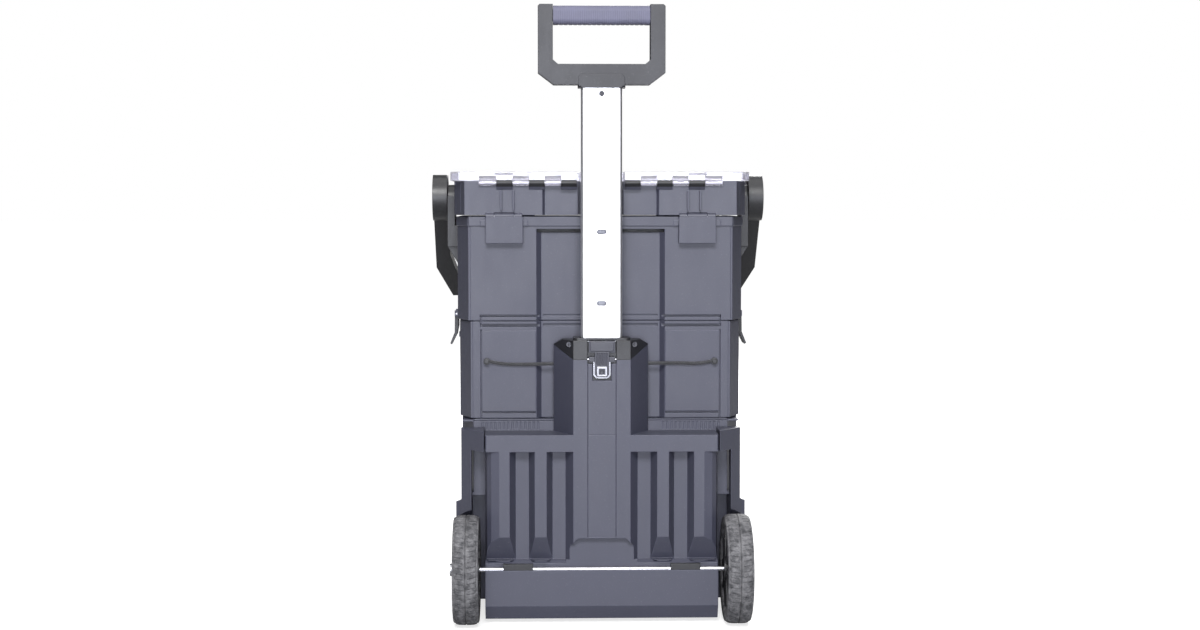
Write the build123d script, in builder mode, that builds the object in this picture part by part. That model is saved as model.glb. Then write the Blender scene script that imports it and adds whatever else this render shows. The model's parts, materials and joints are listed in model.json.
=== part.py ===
from build123d import *
import math
import os

# Rolling tool box: base bin on two wheels, drawer unit, lift-off top box, telescopic handle.
# Millimetres. X left/right with +X the box's own left, front faces -Y, Z up, origin on the floor.

# --- boxes ---
REAR = 90.0  # main rear wall of the stacked boxes
FRONT = -200.0
WALL = 4.0
BASE_HALF = 228.0
BASE_BOTTOM = 20.0
BASE_TOP = 325.0
MID_HALF = 231.5
MID_BOTTOM = 327.0
MID_TOP = 485.0
TOP_HALF = 235.0
TOP_BOTTOM = 487.0
TOP_RIM = 656.0
LID_HALF = 239.6
LID_BOTTOM = 658.5
LID_TOP = 714.0
CORNER_X = 20.0  # width of the slanted rear corners
CORNER_Y = 50.0
RECESS_HALF = 97.0  # shallow channel behind the column
RECESS_DEPTH = 12.0

# --- rear frame and column ---
BACK = 158.0  # rearmost face of ribs and column
FLUTE = 136.0  # floor of the flutes between the ribs
COVER_HALF = 188.0
LEDGE_TOP = 306.0
APRON_BOTTOM = 279.0
COLUMN_FRONT = 98.0
COLUMN_BACK_HALF = 46.0
COLUMN_FRONT_HALF = 77.0
COLUMN_TOP = 458.0
STRIP_HALF = 22.4
COLLAR_TOP = 462.0

# --- wheels ---
AXLE_Y = 152.0
AXLE_Z = 88.0
AXLE_R = 4.0
WHEEL_R = 88.0
WHEEL_IN = 197.0
WHEEL_OUT = 239.0
RIM_R = 68.0
ARCH_R = 96.0

# --- telescopic handle ---
POLE_Y = 129.0
POLE_W = 66.0
POLE_D = 24.0
POLE_WALL = 2.0
POLE_BOTTOM = 392.0
POLE_TOP = 880.0
SLIDE_GAP = 0.3
GUIDE_WALL = 4.8
GRIP_HALF = 102.0
GRIP_TOP = 993.0
LOCK_SLOTS = (402.0, 517.0, 632.0)

# --- bail handle ---
BAIL_Y = -80.0
BAIL_Z = 687.0
BAIL_ANGLE = 42.0  # hangs forward of straight down
BAIL_IN = 256.0
BAIL_OUT = 281.0
BAIL_LENGTH = 218.0

# --- hinges ---
LID_AXIS = (96.0, 656.5)
HINGE_COVER = 104.0  # rear face of the pads that hide the lid hinges
COVER_AXIS = (100.0, 711.0)
COVER_KNUCKLE_R = 4.5
PIN_R = 2.0
RUN_FIT = 0.05  # radial play of a pin in its hole

# --- elastic cord across the rear ---
CORD_R = 2.8
CORD_Y = 94.6
CORD_POINTS = (
    (182.0, 420.2),
    (164.0, 415.8),
    (128.0, 414.8),
    (66.0, 416.6),
    (0.0, 417.0),
    (-66.0, 416.4),
    (-128.0, 417.2),
    (-164.0, 415.6),
    (-182.0, 420.2),
)

# --- drawer ---
DRAWER_HALF = 186.0
DRAWER_BOTTOM = 343.0
DRAWER_TOP = 465.0
RAIL_Z = 404.0
RAIL_H = 40.0

SIDES = (1, -1)


def slab(x, y, z, mode=Mode.ADD):
    """Rectangular block between pairs of limits."""
    with Locations(((x[0] + x[1]) / 2, (y[0] + y[1]) / 2, (z[0] + z[1]) / 2)):
        Box(abs(x[1] - x[0]), abs(y[1] - y[0]), abs(z[1] - z[0]), mode=mode)


def plan(points, z0, z1, mode=Mode.ADD):
    """XY outline raised from z0 to z1."""
    with BuildSketch(Plane.XY.offset(z0)) as outline:
        with BuildLine():
            Polyline(*points, close=True)
        make_face()
    extrude(outline.sketch, amount=z1 - z0, mode=mode)


def side_profile(points, x0, x1, mode=Mode.ADD):
    """YZ outline carried from x0 to x1."""
    low, high = min(x0, x1), max(x0, x1)
    with BuildSketch(Plane.YZ.offset(low)) as outline:
        with BuildLine():
            Polyline(*points, close=True)
        make_face()
    extrude(outline.sketch, amount=high - low, mode=mode)


def rear_profile(points, y0, y1, mode=Mode.ADD):
    """XZ outline carried from y0 to y1."""
    with BuildSketch(Plane.XZ.offset(-y1)) as outline:
        with BuildLine():
            Polyline(*points, close=True)
        make_face()
    extrude(outline.sketch, amount=y1 - y0, mode=mode)


def rod_x(y, z, radius, x0, x1, mode=Mode.ADD):
    """Round bar along X."""
    with BuildSketch(Plane.YZ.offset(min(x0, x1))) as disc:
        with Locations((y, z)):
            Circle(radius)
    extrude(disc.sketch, amount=abs(x1 - x0), mode=mode)


def rod_y(x, z, radius, y0, y1, mode=Mode.ADD):
    """Round bar along Y."""
    with BuildSketch(Plane.XZ.offset(-y1)) as disc:
        with Locations((x, z)):
            Circle(radius)
    extrude(disc.sketch, amount=y1 - y0, mode=mode)


def rounded_tube(width, depth, radius, y, z0, z1, mode=Mode.ADD):
    """Upright prism with rounded corners, centred on X."""
    with BuildSketch(Plane.XY.offset(z0)) as outline:
        with Locations((0, y)):
            RectangleRounded(width, depth, radius)
    extrude(outline.sketch, amount=z1 - z0, mode=mode)


def mirrored(points):
    """Closed symmetric outline from its +X half."""
    return list(points) + [(-x, y) for x, y in reversed(points)]


def box_plan(half, recess=True):
    """Plan of a stacked box with slanted rear corners and the column channel."""
    points = [(half - 14, FRONT), (half, FRONT + 18), (half, REAR - CORNER_Y)]
    points += [(half - CORNER_X, REAR)]
    if recess:
        points += [(RECESS_HALF + 8, REAR), (RECESS_HALF, REAR - RECESS_DEPTH)]
    return mirrored(points)


def corner_grooves(half, z0, z1):
    """Narrow upright grooves beside the slanted corners."""
    for side in SIDES:
        x = side * (half - CORNER_X - 0.5)
        slab((x - side * 2, x + side * 2), (REAR - 2, REAR + 1), (z0, z1), Mode.SUBTRACT)


def save(solid, label):
    """Name a finished sub-part and write it out."""
    solid.label = label
    export_step(solid, "parts/" + label + ".step")


# --- base ---
def make_base_bin():
    inner = [(x - math.copysign(WALL, x), y) for x, y in box_plan(BASE_HALF, False)]
    inner = [(x, min(max(y, -182.0), REAR - WALL)) for x, y in inner]
    outer = [(x, max(y, -186.0)) for x, y in box_plan(BASE_HALF, False)]
    with BuildPart() as base_bin:
        plan(outer, BASE_BOTTOM, BASE_TOP)
        plan(inner, BASE_BOTTOM + WALL, BASE_TOP - WALL, Mode.SUBTRACT)
        slab((-194, 194), (-190, -178), (50, 292), Mode.SUBTRACT)
        for side in SIDES:
            well = (side * COVER_HALF, side * (BASE_HALF + 2))
            liner = (side * (COVER_HALF - WALL), side * BASE_HALF)
            slab(liner, (50 - WALL, REAR), (BASE_BOTTOM, 200 + WALL))
            slab(well, (50, REAR + 1), (BASE_BOTTOM - 1, 200), Mode.SUBTRACT)
            # ears that carry the door pin
            slab((side * 156, side * 166), (-199, -185), (30, 46))
            rod_x(-193, 40, 2.5 + RUN_FIT, side * 155, side * 167, Mode.SUBTRACT)
        # header with the catch lip, and a moulded groove round the foot
        slab((-204, 204), (-200, -186), (303, 321))
        slab((-36, 36), (-200.6, -190), (303, 307))
        slab((-230, 230), (FRONT - 5, REAR + 5), (BASE_TOP - 3, BASE_TOP - 2), Mode.SUBTRACT)
        slab((-226, 226), (-184, REAR - 2), (BASE_TOP - 4, BASE_TOP - 1))
        # fluted band over the ledge
        for side in SIDES:
            for x in range(101, 193, 7):
                slab((side * x, side * (x + 3)), (REAR - 1.2, REAR + 1), (308, 320.5), Mode.SUBTRACT)
    return base_bin.part


def flute_plan():
    half = [(COLUMN_BACK_HALF, BACK), (58.3, FLUTE), (79.4, FLUTE), (89, BACK), (108, BACK)]
    half += [(117.5, FLUTE), (139, FLUTE), (148.5, BACK), (165, BACK), (178, 154)]
    half += [(185, 146), (COVER_HALF, 134), (COVER_HALF, REAR)]
    return mirrored(half)


def cap_cut():
    """Side outline of everything above the sloping joint under the column cap."""
    return [(BACK + 6, 425), (COLUMN_FRONT - 4, 449), (COLUMN_FRONT - 4, 475), (BACK + 6, 475)]


def column_plan():
    return mirrored([(COLUMN_BACK_HALF, BACK), (COLUMN_FRONT_HALF, COLUMN_FRONT)])


def make_rear_frame():
    low = [(REAR, 7), (147.6, 7), (BACK, 29), (BACK, 87), (147.4, 87), (147.4, 97)]
    low += [(141, 102), (REAR, 102)]
    with BuildPart() as rear_frame:
        side_profile(low, -COVER_HALF, COVER_HALF)
        plan(flute_plan(), 102, APRON_BOTTOM)
        plan(mirrored([(186, BACK), (COVER_HALF, BACK - 3), (COVER_HALF, REAR)]), APRON_BOTTOM, LEDGE_TOP)
        plan(column_plan(), LEDGE_TOP, COLUMN_TOP)
        side_profile(cap_cut(), -90, 90, Mode.SUBTRACT)
        # ramps at the foot of every rib
        ramp = [(BACK + 1, 142), (BACK, 141), (FLUTE + 1, 103), (175, 103), (175, 142)]
        for side in SIDES:
            near, far = sorted((side * 59, side * (COVER_HALF + 1)))
            side_profile(ramp, near, far, Mode.SUBTRACT)
        slab((-58, 58), (139, 147.4), (90, 103))
        # open foot of the column
        foot = [(COLUMN_BACK_HALF - 8, 139), (-COLUMN_BACK_HALF + 8, 139), (-50, 128), (-57, 102), (57, 102), (50, 128)]
        rear_profile(foot, 147.4, BACK + 5, Mode.SUBTRACT)
        # hollow behind the ribs
        for side in SIDES:
            slab((side * 62, side * 184), (REAR - 1, 132), (20, 302), Mode.SUBTRACT)
            slab((side * 42, side * 58), (REAR - 1, 132), (110, 302), Mode.SUBTRACT)
        # guide well, strip recess, lever recess, axle groove
        well = (POLE_D + 2 * (SLIDE_GAP + GUIDE_WALL)) / 2
        reach = (POLE_W + 2 * (SLIDE_GAP + GUIDE_WALL)) / 2
        slab((-reach, reach), (POLE_Y - well, POLE_Y + well), (0, 480), Mode.SUBTRACT)
        slab((-STRIP_HALF - 0.6, STRIP_HALF + 0.6), (153.4, BACK + 1), (141, 421.6), Mode.SUBTRACT)
        slab((-23.5, 23.5), (POLE_Y + well - 1, BACK + 4), (421, 480), Mode.SUBTRACT)
        slab((-15, 15), (POLE_Y + well - 1, BACK + 4), (394, 422), Mode.SUBTRACT)
        rod_x(AXLE_Y, AXLE_Z, AXLE_R, -200, 200, Mode.SUBTRACT)
        slab((-200, 200), (AXLE_Y - AXLE_R, AXLE_Y + AXLE_R), (AXLE_Z, 106), Mode.SUBTRACT)
    return rear_frame.part


def make_column_strip():
    with BuildPart() as column_strip:
        slab((-STRIP_HALF, STRIP_HALF), (153.4, BACK), (141, 421))
        slab((-15.6, 15.6), (150, BACK + 2), (393.4, 425), Mode.SUBTRACT)
        slab((-STRIP_HALF, STRIP_HALF), (BACK - 0.5, BACK + 1), (LEDGE_TOP, LEDGE_TOP + 0.8), Mode.SUBTRACT)
    return column_strip.part


def make_column_cap():
    drop = POLE_D / 2 + SLIDE_GAP + GUIDE_WALL
    reach = POLE_W / 2 + SLIDE_GAP + GUIDE_WALL
    with BuildPart() as column_cap:
        plan(column_plan(), 420, COLUMN_TOP)
        rounded_tube(92, 46, 8, POLE_Y + 2, COLUMN_TOP - 1, COLLAR_TOP)
        side_profile(cap_cut(), -90, 90, Mode.INTERSECT)
        # facets over the shoulders
        for side in SIDES:
            facet = [(side * 50, 466), (side * 82, 466), (side * 82, 446)]
            rear_profile(facet, 80, 170, Mode.SUBTRACT)
            rod_y(side * 53, 451, 4.4, 140, BACK + 5, Mode.SUBTRACT)
        slab((-reach, reach), (POLE_Y - drop, POLE_Y + drop), (400, 457), Mode.SUBTRACT)
        rounded_tube(POLE_W + 4, POLE_D + 4, 6, POLE_Y, 450, 480, Mode.SUBTRACT)
        slab((-23.5, 23.5), (POLE_Y + drop - 1, BACK + 4), (400, COLUMN_TOP + 1), Mode.SUBTRACT)
    return column_cap.part


def make_cap_screws():
    with BuildPart() as cap_screws:
        for side in SIDES:
            rod_y(side * 53, 451, 4.2, 140, 144)
            slab((side * 53 - 0.6, side * 53 + 0.6), (143.2, 145), (448, 454), Mode.SUBTRACT)
            slab((side * 53 - 3, side * 53 + 3), (143.2, 145), (450.4, 451.6), Mode.SUBTRACT)
    return cap_screws.part


def make_pole_guide():
    with BuildPart() as pole_guide:
        outer_w = POLE_W + 2 * (SLIDE_GAP + GUIDE_WALL)
        outer_d = POLE_D + 2 * (SLIDE_GAP + GUIDE_WALL)
        slab((-outer_w / 2, outer_w / 2), (POLE_Y - outer_d / 2, POLE_Y + outer_d / 2), (18, 456))
        hole_w = POLE_W + 2 * SLIDE_GAP
        hole_d = POLE_D + 2 * SLIDE_GAP
        rounded_tube(hole_w, hole_d, 4, POLE_Y, 10, 460, Mode.SUBTRACT)
        slab((-9, 9), (POLE_Y + 8, POLE_Y + 20), (396, 409), Mode.SUBTRACT)
    return pole_guide.part


def make_axle():
    with BuildPart() as axle:
        rod_x(AXLE_Y, AXLE_Z, AXLE_R, -243, 243)
    return axle.part


def make_axle_clips():
    with BuildPart() as axle_clips:
        for side in SIDES:
            slab((side * 111, side * 159), (147.4, 157.4), (87, 97))
        rod_x(AXLE_Y, AXLE_Z, AXLE_R, -200, 200, Mode.SUBTRACT)
        slab((-200, 200), (AXLE_Y - AXLE_R, AXLE_Y + AXLE_R), (86, AXLE_Z), Mode.SUBTRACT)
    return axle_clips.part


def make_fender(side):
    skirt = [(50, 100), (50, 200), (REAR, 200), (REAR, APRON_BOTTOM), (BACK, APRON_BOTTOM), (BACK, 100)]
    with BuildPart() as fender:
        side_profile(skirt, side * 211, side * 228)
        block = [(side * 190, BACK), (side * 228, 104), (side * 228, 96), (side * 228, REAR), (side * 190, REAR)]
        plan([block[0], block[1], block[3], block[4]], APRON_BOTTOM, 312)
        rod_x(AXLE_Y, AXLE_Z, 118, side * 228, side * 237)
        slab((side * 227, side * 238), (REAR - 200, 50), (0, 300), Mode.SUBTRACT)
        slab((side * 227, side * 238), (-100, 300), (-60, 100), Mode.SUBTRACT)
        rod_x(AXLE_Y, AXLE_Z, ARCH_R, side * 200, side * 240, Mode.SUBTRACT)
        behind = [(side * 190, BACK), (side * 231.5, 98.6), (side * 238, 93), (side * 260, 93), (side * 260, 300), (side * 190, 300)]
        plan(behind, 60, 330, Mode.SUBTRACT)
    return fender.part


def make_front_feet():
    with BuildPart() as front_feet:
        for side in SIDES:
            slab((side * 130, side * 190), (-176, -140), (0, BASE_BOTTOM))
        chamfer(front_feet.faces().group_by(Axis.Z)[0].edges(), 3)
    return front_feet.part


def make_base_door():
    with BuildPart() as base_door:
        slab((-203, 203), (-200, -186.5), (48, 301))
        slab((-196, 196), (-196, -186), (55, 294), Mode.SUBTRACT)
        for x in (-130, -65, 65, 130):
            slab((x - 2, x + 2), (-197, -190), (54, 295))
        slab((-150, 150), (-202, -199), (82, 92))
        slab((-150, 150), (-202, -199), (226, 236))
        for side in SIDES:
            slab((side * 140, side * 150), (-202, -199), (90, 228))
            for x in (168, 180, 192):
                slab((side * (x - 2), side * (x + 2)), (-201.5, -199), (70, 282))
        rod_x(-193, 40, 6, -154, 154)
        slab((-154, 154), (-198.5, -187.5), (40, 50))
        rod_x(-193, 40, 2.5 + RUN_FIT, -155, 155, Mode.SUBTRACT)
        for side in SIDES:
            slab((side * 154.5, side * 167.5), (-201, -186), (47, 48.6), Mode.SUBTRACT)
            slab((side * 36, side * 42), (-210, -199), (258, 267))
        rod_x(-205, 262, 1.5 + RUN_FIT, -43, 43, Mode.SUBTRACT)
    return base_door.part


def make_base_door_pin():
    with BuildPart() as base_door_pin:
        rod_x(-193, 40, 2.5, -168, 168)
    return base_door_pin.part


def make_base_latch():
    with BuildPart() as base_latch:
        slab((-33, 33), (-209, -202.6), (262, 313))
        rod_x(-205, 262, 3.4, -33, 33)
        slab((-33, 33), (-203, -201), (306, 311))
        slab((-26, 26), (-211.5, -208), (292, 309))
        rod_x(-205, 262, 1.5, -42, 42)
    return base_latch.part


# --- wheels ---
def wheel_band(radius, side, inner, outer, mode=Mode.ADD):
    """Disc of a wheel between two X stations."""
    rod_x(AXLE_Y, AXLE_Z, radius, side * inner, side * outer, mode)


def make_tyre(side):
    profile = [(RIM_R, WHEEL_IN + 4), (80, WHEEL_IN), (85, WHEEL_IN + 2), (WHEEL_R, WHEEL_IN + 9)]
    profile += [(WHEEL_R, WHEEL_OUT - 9), (85, WHEEL_OUT - 2), (80, WHEEL_OUT), (RIM_R, WHEEL_OUT - 4)]
    with BuildPart() as tyre:
        with BuildSketch(Plane.XY) as section:
            with BuildLine():
                Polyline(*[(side * x, AXLE_Y + r) for r, x in profile], close=True)
            make_face()
        spin = Axis((0, AXLE_Y, 0), (1, 0, 0))
        revolve(section.sketch, axis=spin)
    return tyre.part.moved(Location((0, 0, AXLE_Z)))


def make_hub(side):
    with BuildPart() as hub:
        wheel_band(RIM_R, side, WHEEL_IN + 5, WHEEL_OUT - 5)
        wheel_band(RIM_R - 5, side, WHEEL_IN + 2, WHEEL_IN + 14, Mode.SUBTRACT)
        wheel_band(RIM_R - 5, side, WHEEL_OUT - 16, WHEEL_OUT - 2, Mode.SUBTRACT)
        wheel_band(19, side, WHEEL_IN, WHEEL_OUT - 2)
        for angle in range(0, 180, 36):
            with BuildSketch(Plane.YZ.offset(min(side * (WHEEL_IN + 3), side * (WHEEL_OUT - 8)))) as spoke:
                with Locations((AXLE_Y, AXLE_Z)):
                    Rectangle(2 * RIM_R - 6, 7, rotation=angle)
            extrude(spoke.sketch, amount=WHEEL_OUT - WHEEL_IN - 11)
        wheel_band(AXLE_R + 0.08, side, WHEEL_IN - 2, WHEEL_OUT + 2, Mode.SUBTRACT)
    return hub.part


def make_axle_caps():
    with BuildPart() as axle_caps:
        for side in SIDES:
            wheel_band(13, side, WHEEL_OUT - 1, WHEEL_OUT + 3)
            wheel_band(10, side, WHEEL_OUT + 3, WHEEL_OUT + 6)
            wheel_band(AXLE_R, side, WHEEL_OUT - 2, WHEEL_OUT + 4, Mode.SUBTRACT)
    return axle_caps.part


# --- drawer unit ---
def make_middle_case():
    with BuildPart() as middle_case:
        outline = [(x, max(y, -181.0)) for x, y in box_plan(MID_HALF)]
        plan(outline, MID_BOTTOM, MID_TOP)
        slab((-200, 200), (-190, 70), (338, 474), Mode.SUBTRACT)
        plan([(x * 0.97, max(y, -181.0) * 0.93) for x, y in box_plan(MID_HALF)], BASE_TOP, MID_BOTTOM)
        # raised rear panels and the double groove below the seam
        for side in SIDES:
            slab((side * 106, side * 194), (REAR - 1, REAR + 1.5), (338, 470))
        slab((-197, 197), (REAR - 8, REAR + 3), (476.5, 481), Mode.SUBTRACT)
        slab((-94, 94), (REAR - RECESS_DEPTH - 4, REAR), (476.5, 481), Mode.SUBTRACT)
        for side in SIDES:
            slab((side * 194, side * 197), (REAR - 6, REAR + 3), (477, MID_TOP + 1), Mode.SUBTRACT)
            slab((side * 194, side * 196.4), (REAR - 5, REAR + 3), (MID_BOTTOM, 472), Mode.SUBTRACT)
            slab((side * 106, side * 194), (REAR - 5, REAR + 3), (334.6, 337.4), Mode.SUBTRACT)
        corner_grooves(MID_HALF, MID_BOTTOM, MID_TOP)
        for side in SIDES:
            slab((side * MID_HALF, side * 236), (-66, -34), (452, 460))
        # flare that carries the front edge out round the drawer front
        for side in SIDES:
            slab((side * 217, side * 228), (-198, -180), (MID_BOTTOM, MID_TOP))
    return middle_case.part


def make_cord_anchors():
    with BuildPart() as cord_anchors:
        for side in SIDES:
            rod_y(side * 186, 420.2, 5.5, REAR + 1.5, REAR + 9)
            rod_y(side * 186, 420.2, 3.5, REAR + 9, REAR + 10)
    return cord_anchors.part


def make_rear_cord():
    points = [Vector(x, CORD_Y, z) for x, z in CORD_POINTS]
    runs = [(b - a).length for a, b in zip(points, points[1:])]
    radii = []
    for index in range(1, len(points) - 1):
        before = points[index] - points[index - 1]
        after = points[index + 1] - points[index]
        turn = math.radians(before.get_angle(after))
        shorter = min(runs[index - 1], runs[index])
        radii.append(0.45 * shorter / math.tan(turn / 2))
    print("cord radii", [round(r, 1) for r in radii], "least run", round(min(runs), 1))
    with BuildPart() as rear_cord:
        with BuildLine() as route:
            FilletPolyline(*points, radius=radii)
        with BuildSketch(Plane(route.line @ 0, z_dir=route.line % 0)):
            Circle(CORD_R)
        sweep(path=route.line)
    length = sum(edge.length for edge in route.edges())
    ratio = rear_cord.part.volume / (math.pi * CORD_R**2 * length)
    print("cord length", round(length, 1), "volume ratio", round(ratio, 4))
    return rear_cord.part


def make_rails(inner, outer, y0, y1):
    """One slide member on each side of the drawer."""
    with BuildPart() as rails:
        for side in SIDES:
            slab((side * inner, side * outer), (y0, y1), (RAIL_Z - RAIL_H / 2, RAIL_Z + RAIL_H / 2))
    return rails.part


def make_drawer_tub():
    with BuildPart() as drawer_tub:
        slab((-DRAWER_HALF, DRAWER_HALF), (-181.5, 62), (DRAWER_BOTTOM, DRAWER_TOP))
        slab((-182, 182), (-177.5, 58), (DRAWER_BOTTOM + 3, DRAWER_TOP + 1), Mode.SUBTRACT)
    return drawer_tub.part


def make_drawer_front():
    with BuildPart() as drawer_front:
        slab((-216, 216), (-198, -181.5), (331, 482))
        slab((-150, 150), (-200, -197), (350, 395))
        slab((-70, 70), (-199, -186), (420, 452), Mode.SUBTRACT)
        for side in SIDES:
            slab((side * 176, side * 206), (-200.5, -197), (345, 468))
    return drawer_front.part


def make_drawer_pull():
    with BuildPart() as drawer_pull:
        slab((-69.6, 69.6), (-197.6, -186), (446, 451.6))
        slab((-69.6, 69.6), (-197.6, -194), (436, 448))
    return drawer_pull.part


def make_drawer_divider():
    with BuildPart() as drawer_divider:
        slab((-1.5, 1.5), (-177.4, 57.9), (DRAWER_BOTTOM + 3, DRAWER_TOP - 8))
        slab((1.5, 181.9), (-50, -47), (DRAWER_BOTTOM + 3, DRAWER_TOP - 8))
    return drawer_divider.part


def make_drawer_latch():
    with BuildPart() as drawer_latch:
        slab((-20, 20), (-204.4, -200.4), (404, 452))
        rod_x(-202.4, 404, 2.8, -20, 20)
        rod_x(-202.4, 404, 1.2 + RUN_FIT, -21, 21, Mode.SUBTRACT)
    return drawer_latch.part


def make_drawer_latch_hinge():
    with BuildPart() as drawer_latch_hinge:
        for side in SIDES:
            slab((side * 20.8, side * 26), (-205, -198), (400.5, 408))
        rod_x(-202.4, 404, 1.2, -24, 24)
    return drawer_latch_hinge.part


# --- handle ---
def make_pole():
    with BuildPart() as pole:
        rounded_tube(POLE_W, POLE_D, 5, POLE_Y, POLE_BOTTOM, POLE_TOP)
        rounded_tube(POLE_W - 2 * POLE_WALL, POLE_D - 2 * POLE_WALL, 3, POLE_Y, 380, 890, Mode.SUBTRACT)
        rear_face = POLE_Y + POLE_D / 2
        for z in LOCK_SLOTS:
            slab((-4, 4), (rear_face - 4, rear_face + 1), (z - 4, z + 4), Mode.SUBTRACT)
            for side in SIDES:
                rod_y(side * 4, z, 4, rear_face - 4, rear_face + 1, Mode.SUBTRACT)
        rod_y(0, 853, 2.5, rear_face - 4, rear_face + 1, Mode.SUBTRACT)
    return pole.part


def make_pole_foot():
    with BuildPart() as pole_foot:
        rounded_tube(POLE_W, POLE_D, 5, POLE_Y, POLE_BOTTOM - 4, POLE_BOTTOM)
        rounded_tube(POLE_W - 2 * POLE_WALL, POLE_D - 2 * POLE_WALL, 3, POLE_Y, POLE_BOTTOM, 397)
    return pole_foot.part


def make_handle_screw():
    with BuildPart() as handle_screw:
        rear_face = POLE_Y + POLE_D / 2
        rod_y(0, 853, 2.5, rear_face - 2, rear_face)
        rod_y(0, 853, 4.5, rear_face, rear_face + 2)
        slab((-3, 3), (rear_face + 1, rear_face + 3), (852.4, 853.6), Mode.SUBTRACT)
        slab((-0.6, 0.6), (rear_face + 1, rear_face + 3), (850, 856), Mode.SUBTRACT)
    return handle_screw.part


def make_grip_frame():
    outline = mirrored([(77, 867), (GRIP_HALF, 886), (GRIP_HALF, GRIP_TOP - 1), (GRIP_HALF - 3, GRIP_TOP + 2)])
    opening = mirrored([(70, 900), (78, 907), (78, 963)])
    with BuildPart() as grip_frame:
        rear_profile(outline, POLE_Y - 15, POLE_Y + 15)
        rear_profile(opening, POLE_Y - 20, POLE_Y + 20, Mode.SUBTRACT)
        # slim core under the sleeve
        slab((-78, 78), (POLE_Y - 20, POLE_Y - 9), (960, 1000), Mode.SUBTRACT)
        slab((-78, 78), (POLE_Y + 9, POLE_Y + 20), (960, 1000), Mode.SUBTRACT)
        slab((-78, 78), (POLE_Y - 20, POLE_Y + 20), (960, 969), Mode.SUBTRACT)
        slab((-78, 78), (POLE_Y - 20, POLE_Y + 20), (987, 1000), Mode.SUBTRACT)
        rounded_tube(POLE_W, POLE_D, 5, POLE_Y, 860, POLE_TOP, Mode.SUBTRACT)
    return grip_frame.part


def make_grip_socket():
    with BuildPart() as grip_socket:
        rounded_tube(76, 34, 7, POLE_Y, 862, 867)
        for side in SIDES:
            tab = [(-37, 865), (37, 865), (37, 879), (32, 884), (-32, 884), (-37, 879)]
            near, far = sorted((POLE_Y + side * 15, POLE_Y + side * 17))
            rear_profile(tab, near, far)
        rounded_tube(POLE_W, POLE_D, 5, POLE_Y, 860, 870, Mode.SUBTRACT)
    return grip_socket.part


def make_grip_sleeve():
    with BuildPart() as grip_sleeve:
        with BuildSketch(Plane.YZ.offset(-77.6)) as section:
            with Locations((POLE_Y, 978)):
                RectangleRounded(31, 30, 9)
                Rectangle(18, 18, mode=Mode.SUBTRACT)
        extrude(section.sketch, amount=155.2)
        for step in range(-9, 10):
            rod_y(step * 7.6, 961.2, 2.6, POLE_Y - 20, POLE_Y + 20, Mode.SUBTRACT)
    return grip_sleeve.part


def make_release_lever():
    with BuildPart() as release_lever:
        slab((-21, 21), (154, 160), (439, 457.5))
        slab((-18.5, 18.5), (159, 162), (441.5, 455.5))
        slab((-21, 21), (153.5, 158), (424, 432))
        tongue = [(-11.5, 440), (-11.5, 404), (-8.5, 400), (8.5, 400), (11.5, 404), (11.5, 440)]
        rear_profile(tongue, 153.5, 160.5)
        for x in (-7.5, -3.75, 0, 3.75, 7.5):
            slab((x - 1, x + 1), (159, 161), (419, 438), Mode.SUBTRACT)
        rod_x(155.5, 428, 1.5 + RUN_FIT, -22, 22, Mode.SUBTRACT)
        slab((-8.2, 8.2), (159, 162), (401, 417), Mode.SUBTRACT)
        slab((-3, 3), (156, 162), (404, 410), Mode.SUBTRACT)
    return release_lever.part


def make_lever_pin():
    with BuildPart() as lever_pin:
        rod_x(155.5, 428, 1.5, -23.5, 23.5)
    return lever_pin.part


def make_lock_plate():
    with BuildPart() as lock_plate:
        slab((-8, 8), (159, 161.4), (401.2, 416.6))
        slab((-5.2, 5.2), (158, 163), (403.6, 413.2), Mode.SUBTRACT)
        back = [(-14, 424), (-14, 402), (-10, 397.6), (10, 397.6), (14, 402), (14, 424)]
        rear_profile(back, 151.6, 153.5)
        slab((-7, 7), (141.6, 152), (399, 405))
    return lock_plate.part


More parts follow.
